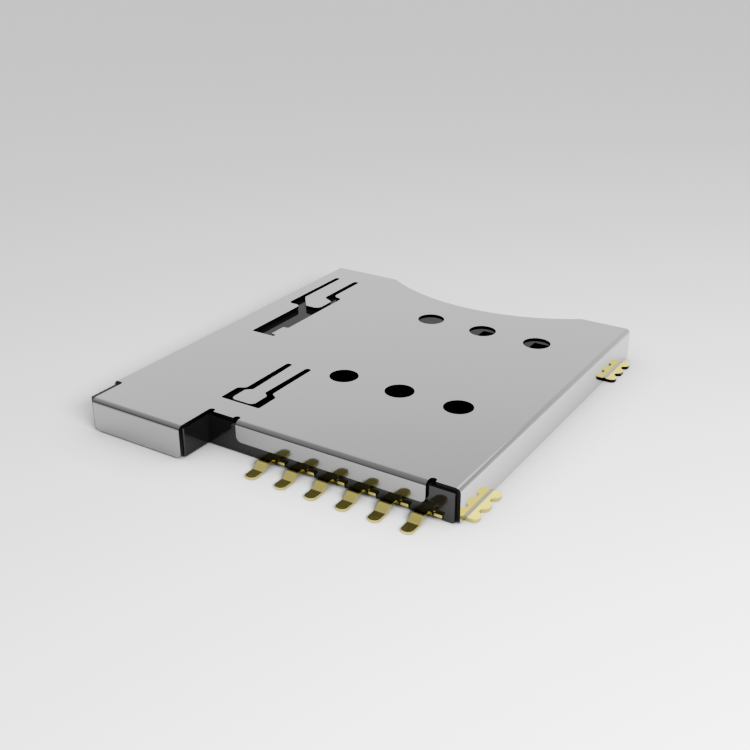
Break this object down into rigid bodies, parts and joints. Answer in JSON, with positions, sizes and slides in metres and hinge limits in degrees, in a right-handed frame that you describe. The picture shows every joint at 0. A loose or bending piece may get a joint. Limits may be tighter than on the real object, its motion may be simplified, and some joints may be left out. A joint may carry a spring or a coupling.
{
  "type": "sim card socket",
  "caption": "Low push-push sim card socket with a folded steel cover, spring fingers, contact holes, gold solder tails and feet, and a sprung slider inside.",
  "frame": {"origin": "on the board under the middle of the socket's outline", "axes": "+Y towards the mouth where the card goes in, +Z away from the board, solder tails at -Y"},
  "size_m": [0.0162, 0.0172, 0.0014],
  "materials": {
    "cover_steel": "smooth rolled stainless steel",
    "housing_plastic": "black moulded liquid crystal polymer",
    "contact_gold": "gold plated copper alloy",
    "slider_plastic": "black moulded liquid crystal polymer",
    "spring_wire": "drawn stainless spring wire"
  },
  "bodies": {
    "base": {"cover": "cover_steel", "housing": "housing_plastic", "contact_c1": "contact_gold", "contact_c2": "contact_gold", "contact_c3": "contact_gold", "contact_c5": "contact_gold", "contact_c6": "contact_gold", "contact_c7": "contact_gold", "slider_spring": "spring_wire"},
    "push_piece": {"slider": "slider_plastic"},
    "link": {"cam_link": "spring_wire"}
  },
  "joints": [
    {"name": "slider_slide", "type": "slide", "parent": "base", "child": "push_piece", "axis": [0, -1, 0], "range_m": [0, 0.00165], "stiffness_N_per_m": 4, "springref_m": -0.002, "deforming": ["slider_spring"]},
    {"name": "link_swing", "type": "hinge", "parent": "base", "child": "link", "pos_m": [-0.00512, -0.00783, 0], "axis": [0, 0, 1], "range_deg": [-0.5, 13]}
  ],
  "couplings": [
    {"joint": "link_swing", "follows": "slider_slide", "rad_per_m": 131.45}
  ]
}
